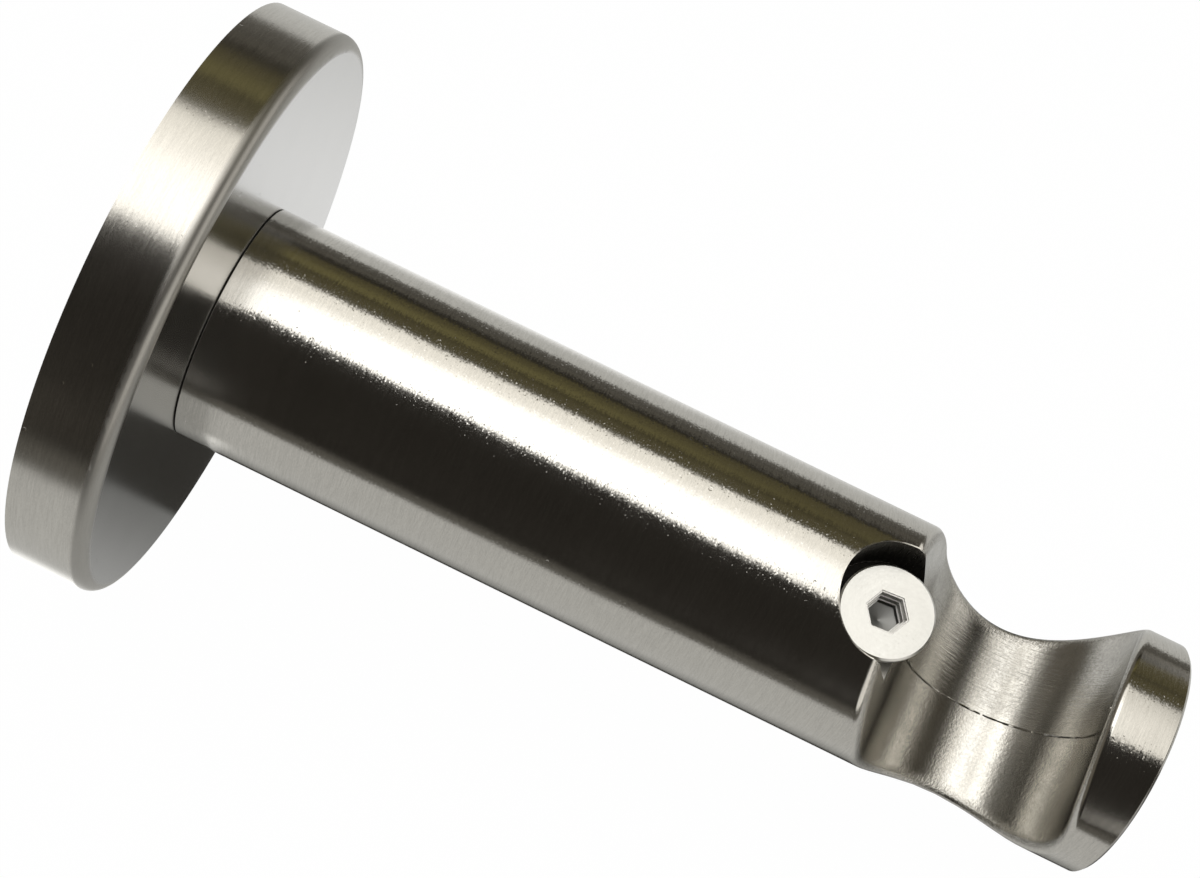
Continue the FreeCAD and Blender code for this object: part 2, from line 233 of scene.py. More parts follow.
@dataclass
class Viewpoint:
    """The photograph's camera, found from the outlines of arm, rose and saddle."""

    place: Vector = field(default_factory=lambda: Vector((-72.106, -46.883, 200.374)) * MM)
    aim: Vector = field(default_factory=lambda: Vector((-7.595, -40.195, -2.416)) * MM)
    roll: float = math.radians(20.43)
    photo_size: tuple[int, int] = (1200, 878)
    focal_pixels: float = 2121.28
    axis_pixel: Pair = (481.4, 532.5)
    sensor: float = 36.0
    near_limit: float = 5 * MM

    def build(self) -> None:
        """Adds the camera and makes it the scene's own."""
        width, height = self.photo_size
        data = bpy.data.cameras.new("camera")
        data.sensor_fit = "HORIZONTAL"
        data.sensor_width = self.sensor
        data.lens = self.focal_pixels / width * self.sensor
        data.shift_x = (width / 2 - self.axis_pixel[0]) / width
        data.shift_y = (self.axis_pixel[1] - height / 2) / width
        data.clip_start = self.near_limit
        forward = (self.aim - self.place).normalized()
        level = forward.cross(Vector((0, 0, 1))).normalized()
        over = level.cross(forward)
        right = math.cos(self.roll) * level + math.sin(self.roll) * over
        turn = Matrix((right, right.cross(forward), -forward)).transposed().to_4x4()
        camera = bpy.data.objects.new("camera", data)
        camera.matrix_world = Matrix.Translation(self.place) @ turn
        bpy.context.scene.collection.objects.link(camera)
        bpy.context.scene.camera = camera


@dataclass(frozen=True)
class Card:
    """One surface of the studio, given by the angles in which it stands round the arm.

    across is the angle about Y, from +X over +Z; along is the angle about X, from +Y over +Z.
    Each is a range in degrees with the widths of its two soft edges. A card with at_ends is seen
    only by directions that lean well towards the arm's ends.
    """

    colour: Triple
    across: Pair | None = None
    across_edge: Pair = (6.0, 6.0)
    along: Pair | None = None
    along_edge: Pair = (6.0, 6.0)
    at_ends: bool = False

    def mask(self, graph: Graph, angles: dict[str, Socket], lean: Socket) -> Given:
        """Where the card is seen.

        Args:
            graph: The world's tree.
            angles: The angles across and along of a direction.
            lean: How far the direction leans towards the arm's ends.

        Returns:
            One on the card, zero off it.
        """
        mask = lean if self.at_ends else 1.0
        for name, angle in angles.items():
            limits, (rise, fall) = getattr(self, name), getattr(self, name + "_edge")
            if limits:
                start = graph.ramp(angle, limits[0] - rise / 2, limits[0] + rise / 2)
                end = graph.ramp(angle, limits[1] - fall / 2, limits[1] + fall / 2, 1.0, 0.0)
                mask = graph.product(start, end, mask)
        return mask


@dataclass
class Studio:
    """Light tent: dark warm room, one large softbox above, pale floor whose reflections carry painted light
    and shadow.
    """

    room: Triple = (0.0245, 0.0220, 0.0185)
    cards: tuple[Card, ...] = (
        # olive strips low on the right: a wide one, its bright core and a dark gap in it
        Card((0.095, 0.082, 0.040), (12.0, 44.0), (4.0, 6.0)),
        Card((0.170, 0.150, 0.064), (21.0, 29.5), (8.0, 2.0), (0.0, 98.0), (6.0, 40.0)),
        Card((0.045, 0.039, 0.022), (30.5, 33.0), (2.0, 3.0)),
        # thin grey line at the arm's own height
        Card((0.110, 0.102, 0.085), (-2.0, 4.5), (2.0, 2.0)),
        # the tent's ends, dim towards the wall and bright past the tip
        Card((0.150, 0.135, 0.110), along=(-8.0, 44.0), along_edge=(8.0, 24.0), at_ends=True),
        Card((1.050, 1.020, 0.960), along=(146.0, 190.0), along_edge=(20.0, 8.0), at_ends=True),
        # softbox, its bright middle, and the brighter part that flat faces see
        Card((1.33, 1.29, 1.20), (46.7, 95.0), (5.0, 4.0), (51.0, 113.0), (26.0, 20.0)),
        Card((2.60, 2.58, 2.54), (66.0, 95.0), (20.0, 4.0), (79.5, 97.0), (6.0, 18.0)),
        Card((2.90, 2.86, 2.78), (60.0, 95.0), (20.0, 4.0), (57.0, 82.0), (14.0, 8.0), at_ends=True),
    )
    turn: float = 0.20
    turn_limit: float = 0.25
    end_lean: Pair = (0.22, 0.45)
    horizon: Pair = (0.02, -0.12)
    white: Triple = (1.0, 1.0, 1.0)
    far_floor: Triple = (0.115, 0.108, 0.094)
    floor_level: float = SOLID_BOX[0].z
    floor_size: float = 1.2
    floor_sides: int = 64
    floor_colour: Triple = (0.86, 0.86, 0.85)
    floor_centre: Triple = (0.0, -45 * MM, 0.0)
    floor_shape: Triple = (1.0, 0.6, 0.0)
    floor_edge: Pair = (160 * MM, 215 * MM)
    # painted light and shadow of the floor as reflections see it: a lit spot right of the arm, shadow under
    # it and to its left, light at the rose's foot
    lit_floor: Triple = (1.06, 1.06, 1.05)
    lit_spot: Triple = (28 * MM, -15 * MM, 0.0)
    lit_shape: Triple = (1.0, 0.5, 0.0)
    lit_reach: float = 48 * MM
    right_floor: Triple = (0.60, 0.60, 0.58)
    left_floor: Triple = (0.58, 0.58, 0.565)
    shaded_floor: Triple = (0.22, 0.22, 0.21)
    left_fade: Pair = (-30 * MM, -11 * MM)
    arm_shadow_floor: Triple = (0.030, 0.028, 0.024)
    arm_left: Pair = (-13.3 * MM, -12.0 * MM)
    arm_right: Pair = (12.0 * MM, 13.3 * MM)
    rose_foot_light: Triple = (1.60, 1.60, 1.58)
    rose_strip: Pair = (-9 * MM, -5 * MM)
    rose_foot: Pair = (-40 * MM, -29 * MM)
    camera_share: float = 0.99
    gloss_share: float = 0.90
    lamp_size: float = 0.5
    lamp_energy: float = 1.2
    lamp_place: Triple = (0.16, 0.05, 0.6)

    def build(self) -> None:
        """Adds world, floor and lamp, and sets the plain view transform."""
        self.light_world()
        self.lay_floor()
        self.hang_lamp()
        bpy.context.scene.view_settings.view_transform = "Standard"

    def light_world(self) -> None:
        """Room, softbox and far floor by direction; plain white behind the object."""
        world = bpy.data.worlds.new("studio")
        world.use_nodes = True
        world.node_tree.nodes.clear()
        bpy.context.scene.world = world
        graph = Graph(world.node_tree)
        direction = graph.add("TexCoord").outputs["Generated"]
        axes = graph.add("SeparateXYZ", {0: direction}).outputs
        # the tent stands a little turned to the arm
        limit = self.turn_limit
        skew = graph.product(graph.ramp(axes["Y"], -limit, limit, -limit, limit, smooth=False), self.turn)
        aside = graph.math("SUBTRACT", axes["X"], skew)
        angles = {
            "across": graph.math("DEGREES", graph.math("ARCTAN2", axes["Z"], aside)),
            "along": graph.math("DEGREES", graph.math("ARCTAN2", axes["Z"], axes["Y"])),
        }
        lean = graph.ramp(graph.math("ABSOLUTE", axes["Y"]), *self.end_lean)
        light = self.room
        for card in self.cards:
            light = graph.tint(card.mask(graph, angles, lean), light, card.colour)
        light = graph.tint(graph.ramp(axes["Z"], *self.horizon), light, self.far_floor)
        seen = graph.add("LightPath").outputs["Is Camera Ray"]
        studio = graph.add("Background", {"Color": light})
        plain = graph.add("Background", {"Color": self.white})
        both = graph.add("MixShader", {0: seen, 1: studio.outputs[0], 2: plain.outputs[0]})
        graph.add("OutputWorld", {0: both.outputs[0]})

    def floor_glow(self, graph: Graph, place: Socket, distance: Socket) -> Socket:
        """The floor as the metal mirrors it, in painted light and shadow: a painted pool of light beside
        the arm, painted shadow under it and on its left, painted light at the rose's foot, dim far off.

        Args:
            graph: The floor material's tree.
            place: Object coordinates.
            distance: Distance from the middle of the bracket.

        Returns:
            The colour seen by reflected rays.
        """
        axes = graph.add("SeparateXYZ", {0: place}).outputs
        from_spot = graph.reach(place, self.lit_spot, self.lit_shape)
        right = graph.tint(graph.ramp(from_spot, 0.0, self.lit_reach), self.lit_floor, self.right_floor)
        left = graph.tint(graph.ramp(axes["X"], *self.left_fade), self.left_floor, self.shaded_floor)
        glow = graph.tint(graph.ramp(axes["X"], *self.arm_left), left, self.arm_shadow_floor)
        glow = graph.tint(graph.ramp(axes["X"], *self.arm_right), glow, right)
        foot = graph.product(graph.ramp(axes["Y"], *self.rose_strip),
                             graph.ramp(axes["X"], *self.rose_foot),
                             graph.ramp(axes["X"], 0.0, self.lit_spot[0], 1.0, 0.0))
        glow = graph.tint(foot, glow, self.rose_foot_light)
        return graph.tint(graph.ramp(distance, *self.floor_edge), glow, self.far_floor)

    def lay_floor(self) -> None:
        """Pale floor under the rose's rim."""
        bpy.ops.object.select_all(action="DESELECT")
        bpy.ops.mesh.primitive_circle_add(
            vertices=self.floor_sides, radius=self.floor_size / 2, fill_type="NGON",
            location=(0, self.floor_centre[1], self.floor_level))
        floor = bpy.context.object
        floor.name = "floor"
        bpy.ops.object.transform_apply()
        material = bpy.data.materials.new("pale_floor")
        material.use_nodes = True
        material.node_tree.nodes.clear()
        graph = Graph(material.node_tree)
        place = graph.add("TexCoord").outputs["Object"]
        path = graph.add("LightPath").outputs
        distance = graph.reach(place, self.floor_centre, self.floor_shape)
        # painted light and shadow that the metal mirrors
        glow = self.floor_glow(graph, place, distance)
        pale = graph.tint(path["Is Camera Ray"], glow, self.white)
        shown = graph.total(path["Is Camera Ray"], path["Is Transmission Ray"])
        beyond = graph.ramp(distance, *self.floor_edge, self.gloss_share, 1.0)
        share = graph.math("ADD", graph.product(shown, self.camera_share),
                           graph.product(path["Is Glossy Ray"], beyond), clamp=True)
        lit = graph.add("BsdfDiffuse", {"Color": self.floor_colour})
        plain = graph.add("Emission", {"Color": pale})
        both = graph.add("MixShader", {0: share, 1: lit.outputs[0], 2: plain.outputs[0]})
        graph.add("OutputMaterial", {0: both.outputs[0]})
        floor.data.materials.append(material)

    def hang_lamp(self) -> None:
        """Large soft lamp over the object, weak beside the softbox and not mirrored."""
        data = bpy.data.lights.new("soft_lamp", "AREA")
        data.size = self.lamp_size
        data.energy = self.lamp_energy
        lamp = bpy.data.objects.new("soft_lamp", data)
        lamp.location = Vector(self.lamp_place)
        lamp.visible_glossy = False
        aim = Vector(self.floor_centre) - lamp.location
        lamp.rotation_euler = aim.to_track_quat("-Z", "Y").to_euler()
        bpy.context.scene.collection.objects.link(lamp)


# shared effects


class SharedEffect:
    """A node group with named inputs and outputs, built once and placed in each finish."""

    def __init__(self, name: str, inputs: dict[str, float | Triple], outputs: dict[str, str]) -> None:
        """Makes the empty group.

        Args:
            name: The group's name.
            inputs: Each input's name and first value, one number or three.
            outputs: Each output's name and kind, Float or Vector.
        """
        self.tree = bpy.data.node_groups.new(name, "ShaderNodeTree")
        for label, value in inputs.items():
            kind = "NodeSocketVector" if isinstance(value, tuple) else "NodeSocketFloat"
            socket = self.tree.interface.new_socket(label, in_out="INPUT", socket_type=kind)
            socket.default_value = value
        for label, kind in outputs.items():
            self.tree.interface.new_socket(label, in_out="OUTPUT", socket_type="NodeSocket" + kind)
        self.graph = Graph(self.tree)
        self.given = self.tree.nodes.new("NodeGroupInput").outputs

    def put_out(self, results: dict[str, Socket]) -> None:
        """Joins the results to the group's outputs.

        Args:
            results: Output name to the socket that feeds it.
        """
        out = self.tree.nodes.new("NodeGroupOutput")
        for label, socket in results.items():
            self.graph.feed(out.inputs[label], socket)

    def place_in(self, graph: Graph, inputs: dict[str, Given]) -> bpy.types.bpy_prop_collection:
        """Places the group in a finish.

        Args:
            graph: The finish's tree.
            inputs: Input name to a value or a socket.

        Returns:
            The outputs of the placed group.
        """
        node = graph.tree.nodes.new("ShaderNodeGroup")
        node.node_tree = self.tree
        for label, given in inputs.items():
            graph.feed(node.inputs[label], given)
        return node.outputs


@dataclass(frozen=True)
class LineLayer:
    """One layer of hairlines: its drift along them, its count against Density, and its noise."""

    drift: float
    count: float
    detail: float
    rough: float
    share: float


class BrushedLines(SharedEffect):
    """Hairlines of a brush: they tilt the surface to and fro, and shade it."""

    layers: tuple[LineLayer, ...] = (
        LineLayer(420.0, 1.0, 3.0, 0.70, 0.45),
        LineLayer(3200.0, 1.2, 2.0, 0.60, 0.35),
        LineLayer(160.0, 0.5, 3.0, 0.65, 0.20),
    )
    cloud_scale: float = 160.0
    speck_scale: float = 5000.0
    speck_rough: float = 0.6
    tilt_gain: float = 4.0
    wander: float = 0.02

    def __init__(self) -> None:
        """Builds the group. Across is the place across the lines, Push the way they tilt."""
        none = (0.0, 0.0, 0.0)
        super().__init__(
            "brushed_lines",
            {"Place": none, "Across": 0.0, "Push": none, "Tilt": 0.02, "Grain": 5.0, "Density": 2600.0},
            {"Normal": "Vector", "Streak": "Float", "Cloud": "Float"},
        )
        graph, given = self.graph, self.given
        shades = []
        for layer in self.layers:
            step = graph.product(given["Across"], given["Density"], layer.count)
            over = graph.add("CombineXYZ", {1: step}).outputs[0]
            place = graph.vector("ADD", graph.vector("SCALE", given["Place"], layer.drift), over)
            shades.append(graph.product(graph.noise(place, 1.0, layer.detail, layer.rough), layer.share))
        streak = graph.total(*shades)
        cloud = graph.noise(given["Place"], self.cloud_scale)
        specks = graph.swing(graph.noise(given["Place"], self.speck_scale, rough=self.speck_rough))
        # the third power leaves most grains flat and tilts a few strongly
        sparkle = graph.product(specks, specks, specks, given["Grain"])
        tilt = graph.swing(streak, given["Tilt"], self.tilt_gain)
        lean = graph.total(tilt, sparkle, graph.swing(cloud, self.wander))
        normal = graph.add("NewGeometry").outputs["Normal"]
        tilted = graph.vector("ADD", normal, graph.vector("SCALE", given["Push"], lean))
        self.put_out({"Normal": graph.vector("NORMALIZE", tilted), "Streak": streak, "Cloud": cloud})


class CastSkin(SharedEffect):
    """Skin of a casting that was only lightly brushed: grit, lines and cloudy shade."""

    line_scale: Triple = (4200.0, 260.0, 260.0)
    grit_scale: float = 3400.0
    fine_rough: float = 0.7
    swell_scale: float = 420.0
    swell_height: float = 0.35
    swell_shade: float = 0.5

    def __init__(self) -> None:
        """Builds the group. Lines sets how much of the brushing shows, Grit how coarse the skin is."""
        super().__init__("cast_skin", {"Place": (0.0, 0.0, 0.0), "Lines": 0.5, "Grit": 0.5},
                         {"Height": "Float", "Shade": "Float"})
        graph, given = self.graph, self.given
        drawn = graph.vector("MULTIPLY", given["Place"], self.line_scale)
        lines = graph.swing(graph.noise(drawn, 1.0, 3.0, self.fine_rough))
        grit = graph.swing(graph.noise(given["Place"], self.grit_scale, 3.0, self.fine_rough))
        swell = graph.swing(graph.noise(given["Place"], self.swell_scale))
        height = graph.total(graph.product(lines, given["Lines"]), graph.product(grit, given["Grit"]),
                             graph.product(swell, self.swell_height))
        shade = graph.total(grit, graph.product(swell, self.swell_shade), 0.5)
        self.put_out({"Height": height, "Shade": shade})


class HandlingMarks(SharedEffect):
    """Sparse small nicks, each a shallow pit of its own size."""

    pit_size: Pair = (0.05, 0.13)
    pit_edge: Pair = (0.55, 1.0)
    empty_share: float = 0.75

    def __init__(self) -> None:
        """Builds the group. Density is the count of cells in a metre, most of them empty."""
        super().__init__("handling_marks", {"Place": (0.0, 0.0, 0.0), "Density": 500.0},
                         {"Height": "Float"})
        graph, given = self.graph, self.given
        cells = graph.add("TexVoronoi", {"Vector": given["Place"], "Scale": given["Density"]}).outputs
        draw = graph.add("SeparateColor", {0: cells["Color"]}).outputs
        size = graph.ramp(draw["Green"], 0.0, 1.0, *self.pit_size, smooth=False)
        pit = graph.ramp(graph.math("DIVIDE", cells["Distance"], size), *self.pit_edge, 1.0, 0.0)
        kept = graph.math("GREATER_THAN", draw["Red"], self.empty_share)
        self.put_out({"Height": graph.product(pit, kept, -1.0)})


LINES = BrushedLines()
SKIN = CastSkin()
NICKS = HandlingMarks()


# finishes


class Lay(Enum):
    """The axis round which a finish was brushed: a point of it and its direction."""

    ROUND_ARM = ((0.0, 0.0, 0.0), (0.0, 1.0, 0.0))
    ROUND_SCREW = ((0.0, SCREW_Y, 0.0), (0.0, 0.0, 1.0))


@dataclass
class Coat:
    """The sockets of one surface before it reaches its shader."""

    colour: Socket
    rough: Socket
    normal: Socket

    def under(self, graph: Graph, mask: Socket, upper: "Coat") -> "Coat":
        """Lays another coat over this one.

        Args:
            graph: The material's tree.
            mask: One where the other coat covers this one.
            upper: The other coat.

        Returns:
            The two as one coat.
        """
        normal = graph.mix(Kind.VECTOR, mask, self.normal, upper.normal)
        return Coat(graph.tint(mask, self.colour, upper.colour),
                    graph.mix(Kind.VALUE, mask, self.rough, upper.rough),
                    graph.vector("NORMALIZE", normal))

    def with_painted_light_and_shade(self, graph: Graph, mask: Socket, colour: Triple, rough: float) -> "Coat":
        """This coat with painted light or painted shade, another colour and roughness, where a mask is one.
        """
        return Coat(graph.tint(mask, self.colour, colour),
                    graph.mix(Kind.VALUE, mask, self.rough, rough), self.normal)


class Bench:
    """One material in work: its tree, its shader and the coordinates that its coats share."""

    def __init__(self, name: str, lay: Lay = Lay.ROUND_ARM) -> None:
        """Starts a material.

        Args:
            name: The material's name.
            lay: The axis round which it is brushed.
        """
        self.material = bpy.data.materials.new(name)
        self.material.use_nodes = True
        self.shader = self.material.node_tree.nodes["Principled BSDF"]
        self.graph = graph = Graph(self.material.node_tree)
        self.place = graph.add("TexCoord").outputs["Object"]
        axes = graph.add("SeparateXYZ", {0: self.place}).outputs
        self.x, self.y, self.z = axes["X"], axes["Y"], axes["Z"]
        self.normal = graph.add("NewGeometry").outputs["Normal"]
        centre, axis = lay.value
        offset = graph.vector("SUBTRACT", self.place, centre)
        depth = graph.add("VectorMath", {0: offset, 1: axis}, operation="DOT_PRODUCT").outputs["Value"]
        self.push = graph.vector("NORMALIZE", graph.vector("CROSS_PRODUCT", axis, offset))
        self.radius = graph.reach(self.place, centre, tuple(1.0 - abs(part) for part in axis))
        # radius and depth together count the lines on flat ends as well as on sides
        self.across = graph.total(depth, self.radius)

    def finish(self, coat: Coat, anisotropy: float | Socket) -> Material:
        """Joins the last coat to the shader.

        Args:
            coat: The surface with everything that lies on it.
            anisotropy: How far the highlight is drawn out across the lines.

        Returns:
            The finished material.
        """
        tangent = self.graph.vector("CROSS_PRODUCT", self.push, self.normal)
        inputs = {"Base Color": coat.colour, "Roughness": coat.rough, "Normal": coat.normal,
                  "Tangent": tangent, "Anisotropic": anisotropy, "Metallic": 1.0}
        for name, given in inputs.items():
            self.graph.feed(self.shader.inputs[name], given)
        return self.material


@dataclass(frozen=True)
class SatinNickel:
    """Brushed satin nickel: colour, gloss, and how strongly the lines and nicks show."""

    colour: Triple = (0.665, 0.645, 0.600)
    rough: float = 0.16
    uneven: float = 0.06
    cloudy: float = 0.06
    tilt: float = 0.026
    grain: float = 8.0
    density: float = 5200.0
    shaded: float = 0.80
    streaks: Pair = (0.34, 0.60)
    nicks: float = 500.0
    nick_depth: float = 0.012 * MM
    side: Pair = (-10.0 * MM, -5.0 * MM)
    side_share: float = 0.35

    def coat(self, bench: Bench) -> Coat:
        """Brushes a surface, smoother down its left side than on its crown.

        Args:
            bench: The material in work.

        Returns:
            The brushed coat.
        """
        graph = bench.graph
        share = graph.ramp(bench.x, *self.side, self.side_share, 1.0)
        lines = LINES.place_in(graph, {
            "Place": bench.place, "Across": bench.across, "Push": bench.push, "Density": self.density,
            "Tilt": graph.product(share, self.tilt), "Grain": graph.product(share, self.grain)})
        shade = graph.ramp(lines["Streak"], *self.streaks, smooth=False)
        colour = graph.tint(shade, darker(self.colour, self.shaded), self.colour)
        rough = graph.total(self.rough, graph.swing(lines["Streak"], self.uneven),
                            graph.swing(lines["Cloud"], self.cloudy))
        nicks = NICKS.place_in(graph, {"Place": bench.place, "Density": self.nicks})
        bump = graph.add("Bump", {"Height": nicks["Height"], "Distance": self.nick_depth,
                                  "Normal": lines["Normal"]})
        return Coat(colour, rough, bump.outputs[0])


@dataclass(frozen=True)
class CastNickel:
    """Nickel over a casting's skin, as in the saddle: paired values are for its near and far half. The near
    half's lighter colour is painted light, for its brighter reflections.
    """

    lit_near_colour: Triple = (0.600, 0.583, 0.540)
    far_colour: Triple = (0.530, 0.515, 0.477)
    rough: Pair = (0.165, 0.22)
    lines: Pair = (0.5, 1.7)
    grit: Pair = (0.8, 0.4)
    rim_grit: float = 4.0
    rim_zone: Pair = (10.8 * MM, 12.3 * MM)
    half_way: Pair = (-1.5 * MM, 1.5 * MM)
    shaded: float = 0.72
    shades: Pair = (0.25, 0.75)
    gloss_shades: Pair = (0.2, 0.8)
    gloss_swing: Pair = (0.06, -0.05)
    height: float = 0.028 * MM

    def coat(self, bench: Bench) -> Coat:
        """Lays the skin, gritty on the near half and at the rim, brushed on the far half.

        Args:
            bench: The material in work.

        Returns:
            The cast coat.
        """
        graph = bench.graph
        grit = graph.total(graph.ramp(bench.x, *self.half_way, *self.grit),
                           graph.ramp(bench.radius, *self.rim_zone, 0.0, self.rim_grit))
        lines = graph.ramp(bench.x, *self.half_way, *self.lines)
        skin = SKIN.place_in(graph, {"Place": bench.place, "Lines": lines, "Grit": grit})
        shade = graph.ramp(skin["Shade"], *self.shades, smooth=False)
        half = graph.ramp(bench.x, *self.half_way)
        light = graph.tint(half, self.lit_near_colour, self.far_colour)
        dark = graph.tint(half, darker(self.lit_near_colour, self.shaded), darker(self.far_colour, self.shaded))
        rough = graph.total(graph.mix(Kind.VALUE, half, *self.rough),
                            graph.ramp(skin["Shade"], *self.gloss_shades, *self.gloss_swing, smooth=False))
        bump = graph.add("Bump", {"Height": skin["Height"], "Distance": self.height})
        return Coat(graph.tint(shade, dark, light), rough, bump.outputs[0])


@dataclass(frozen=True)
class GapShade:
    """Painted shade: the dark colour put in the joint between arm and rose, or in a bore."""

    colour: Triple = (0.03, 0.028, 0.025)
    rough: float = 0.6


@dataclass(frozen=True)
class RoseFinish:
    """Brushed rim, a rounded edge in painted shade and low down in painted light, and a face polished
    enough to mirror the arm, with painted shade in the joint round it.
    """

    rim: SatinNickel = SatinNickel(rough=0.21, tilt=0.011, grain=2.0)
    # the rounded front edge: its darker colour is painted shade, its lighter colour low down is painted
    # light
    edge: SatinNickel = SatinNickel((0.43, 0.417, 0.388), rough=0.38, tilt=0.010, grain=1.0, shaded=0.88)
    lit_low_edge: SatinNickel = SatinNickel((0.66, 0.645, 0.61), rough=0.34, tilt=0.010, grain=1.0, shaded=0.88)
    face: SatinNickel = SatinNickel((0.495, 0.493, 0.486), rough=0.21, uneven=0.04, tilt=0.006, grain=1.0,
                                    shaded=0.95)
    low: Pair = (4.0 * MM, -22.0 * MM)
    edge_depth: Pair = (-6.6 * MM, -7.2 * MM)
    face_radius: Pair = (29.7 * MM, 29.1 * MM)
    joint: GapShade = GapShade()
    joint_radius: Pair = (12.50 * MM, 12.38 * MM)
    anisotropy: float = 0.6

    def build(self) -> Material:
        """Makes the material.

        Returns:
            The rose's material.
        """
        bench = Bench("rose_nickel")
        graph = bench.graph
        past_rim = graph.ramp(bench.y, *self.edge_depth)
        on_face = graph.product(past_rim, graph.ramp(bench.radius, *self.face_radius))
        # painted shade along the edge, painted light on its lower part
        edge = self.edge.coat(bench).under(graph, graph.ramp(bench.z, *self.low), self.lit_low_edge.coat(bench))
        coat = self.rim.coat(bench).under(graph, past_rim, edge)
        coat = coat.under(graph, on_face, self.face.coat(bench))
        # painted shade in the joint: a dark ring on the face round the arm
        joint = graph.product(graph.ramp(bench.radius, *self.joint_radius), on_face)
        coat = coat.with_painted_light_and_shade(graph, joint, self.joint.colour, self.joint.rough)
        return bench.finish(coat, graph.product(graph.math("SUBTRACT", 1.0, past_rim), self.anisotropy))


@dataclass(frozen=True)
class ArmFinish:
    """Brushed bar with a cast saddle, painted shade in the counterbore, and painted shade in the edge at
    the rose.
    """

    bar: SatinNickel = SatinNickel()
    saddle: CastNickel = CastNickel()
    bar_edge: Pair = (12.40 * MM, 12.05 * MM)
    saddle_start: Pair = (-70 * MM, -72 * MM)
    tip: Pair = (-107.55 * MM, -107.2 * MM)
    bore: GapShade = GapShade(rough=0.5)
    bore_radius: Pair = (6.01 * MM, 5.97 * MM)
    bore_side: Pair = (-7.5 * MM, -1.5 * MM)
    bore_floor: Pair = (3.4 * MM, 4.2 * MM)
    bore_end: Pair = (-82.8 * MM, -81.8 * MM)
    joint: GapShade = GapShade()
    joint_depth: Pair = (-8.43 * MM, -8.38 * MM)
    anisotropy: float = 0.6

    def build(self) -> Material:
        """Makes the material.

        Returns:
            The arm's material.
        """
        bench = Bench("arm_nickel")
        graph = bench.graph
        beside = graph.product(graph.ramp(bench.y, *self.saddle_start), graph.ramp(bench.y, *self.tip))
        in_saddle = graph.product(graph.ramp(bench.radius, *self.bar_edge), beside)
        coat = self.bar.coat(bench).under(graph, in_saddle, self.saddle.coat(bench))
        from_screw = graph.reach(bench.place, Lay.ROUND_SCREW.value[0], (1, 1, 0))
        # painted shade in the counterbore, fading out towards -X
        bore_shade_mask = graph.product(
            graph.ramp(from_screw, *self.bore_radius), graph.ramp(bench.z, *self.bore_floor),
            graph.ramp(bench.y, *self.bore_end), graph.ramp(bench.x, *self.bore_side))
        coat = coat.with_painted_light_and_shade(graph, bore_shade_mask, self.bore.colour, self.bore.rough)
        # painted shade in the edge where the arm meets the rose
        joint_shade_mask = graph.ramp(bench.y, *self.joint_depth)
        coat = coat.with_painted_light_and_shade(graph, joint_shade_mask, self.joint.colour, self.joint.rough)
        return bench.finish(coat, graph.product(graph.math("SUBTRACT", 1.0, in_saddle), self.anisotropy))


@dataclass(frozen=True)
class ScrewFinish:
    """Finely grained nickel on the clamp screw, with painted shade down its socket and painted light on the
    treads there.
    """

    head: SatinNickel = SatinNickel((0.675, 0.67, 0.64), rough=0.30, tilt=0.01, grain=5.0, density=1500.0,
                                    shaded=0.90)
    socket_depth: Pair = (7.72 * MM, 6.2 * MM)
    socket_radius: Pair = (2.40 * MM, 2.26 * MM)
    socket_shade_colour: Triple = (0.28, 0.28, 0.27)
    socket_rough: float = 0.42
    tread_height: Pair = (5.40 * MM, 5.90 * MM)
    tread_slope: Pair = (0.55, 0.85)
    tread_light_colour: Triple = (0.95, 0.94, 0.91)
    tread_rough: float = 0.55

    def build(self) -> Material:
        """Makes the material.

        Returns:
            The screw's material.
        """
        bench = Bench("screw_nickel", Lay.ROUND_SCREW)
        graph = bench.graph
        socket = graph.ramp(bench.radius, *self.socket_radius)
        # painted shade down the socket
        inside = graph.product(graph.ramp(bench.z, *self.socket_depth), socket)
        coat = self.head.coat(bench).with_painted_light_and_shade(graph, inside, self.socket_shade_colour, self.socket_rough)
        # painted light on the flat treads in the socket
        level = graph.ramp(graph.add("SeparateXYZ", {0: bench.normal}).outputs["Z"], *self.tread_slope)
        tread_light_mask = graph.product(graph.math("LESS_THAN", bench.z, self.socket_depth[0]), level, socket,
                              graph.ramp(bench.z, *self.tread_height))
        return bench.finish(coat.with_painted_light_and_shade(graph, tread_light_mask, self.tread_light_colour, self.tread_rough), 0.0)


@dataclass(frozen=True)
class ZincPlating:
    """Bright zinc on the pieces inside the rose, cloudier than the nickel."""

    zinc: SatinNickel = SatinNickel((0.66, 0.67, 0.69), rough=0.34, uneven=0.12, tilt=0.03, shaded=0.80)
    anisotropy: float = 0.3

    def build(self) -> Material:
        """The plating's material."""
        bench = Bench("zinc_plating")
        return bench.finish(self.zinc.coat(bench), self.anisotropy)


# modelling


class Part(Enum):
    """What can be picked in edit mode, and the name of its sequence in a mesh."""

    FACE = "faces"
    EDGE = "edges"


class Slot(Enum):
    """Names of two material slots; nothing in the script uses them."""

    ARM = "satin_nickel_arm"
    SCREW = "nickel_screw"


def only(piece: Piece) -> None:
    """Selects one object and nothing else.

    Args:
        piece: The object.
    """
    bpy.ops.object.select_all(action="DESELECT")
    piece.select_set(True)
    bpy.context.view_layer.objects.active = piece


def pick(part: Part, test: Callable[[bmesh.types.BMFace | bmesh.types.BMEdge], bool]) -> None:
    """Selects the faces or edges in edit mode that pass a test, and no others.

    Args:
        part: Whether faces or edges are picked.
        test: What one of them must pass.
    """
    bpy.ops.mesh.select_all(action="DESELECT")
    bpy.ops.mesh.select_mode(type=part.name)
    mesh = bpy.context.edit_object.data
    shape = bmesh.from_edit_mesh(mesh)
    for element in getattr(shape, part.value):
        if test(element):
            element.select_set(True)
    bmesh.update_edit_mesh(mesh)


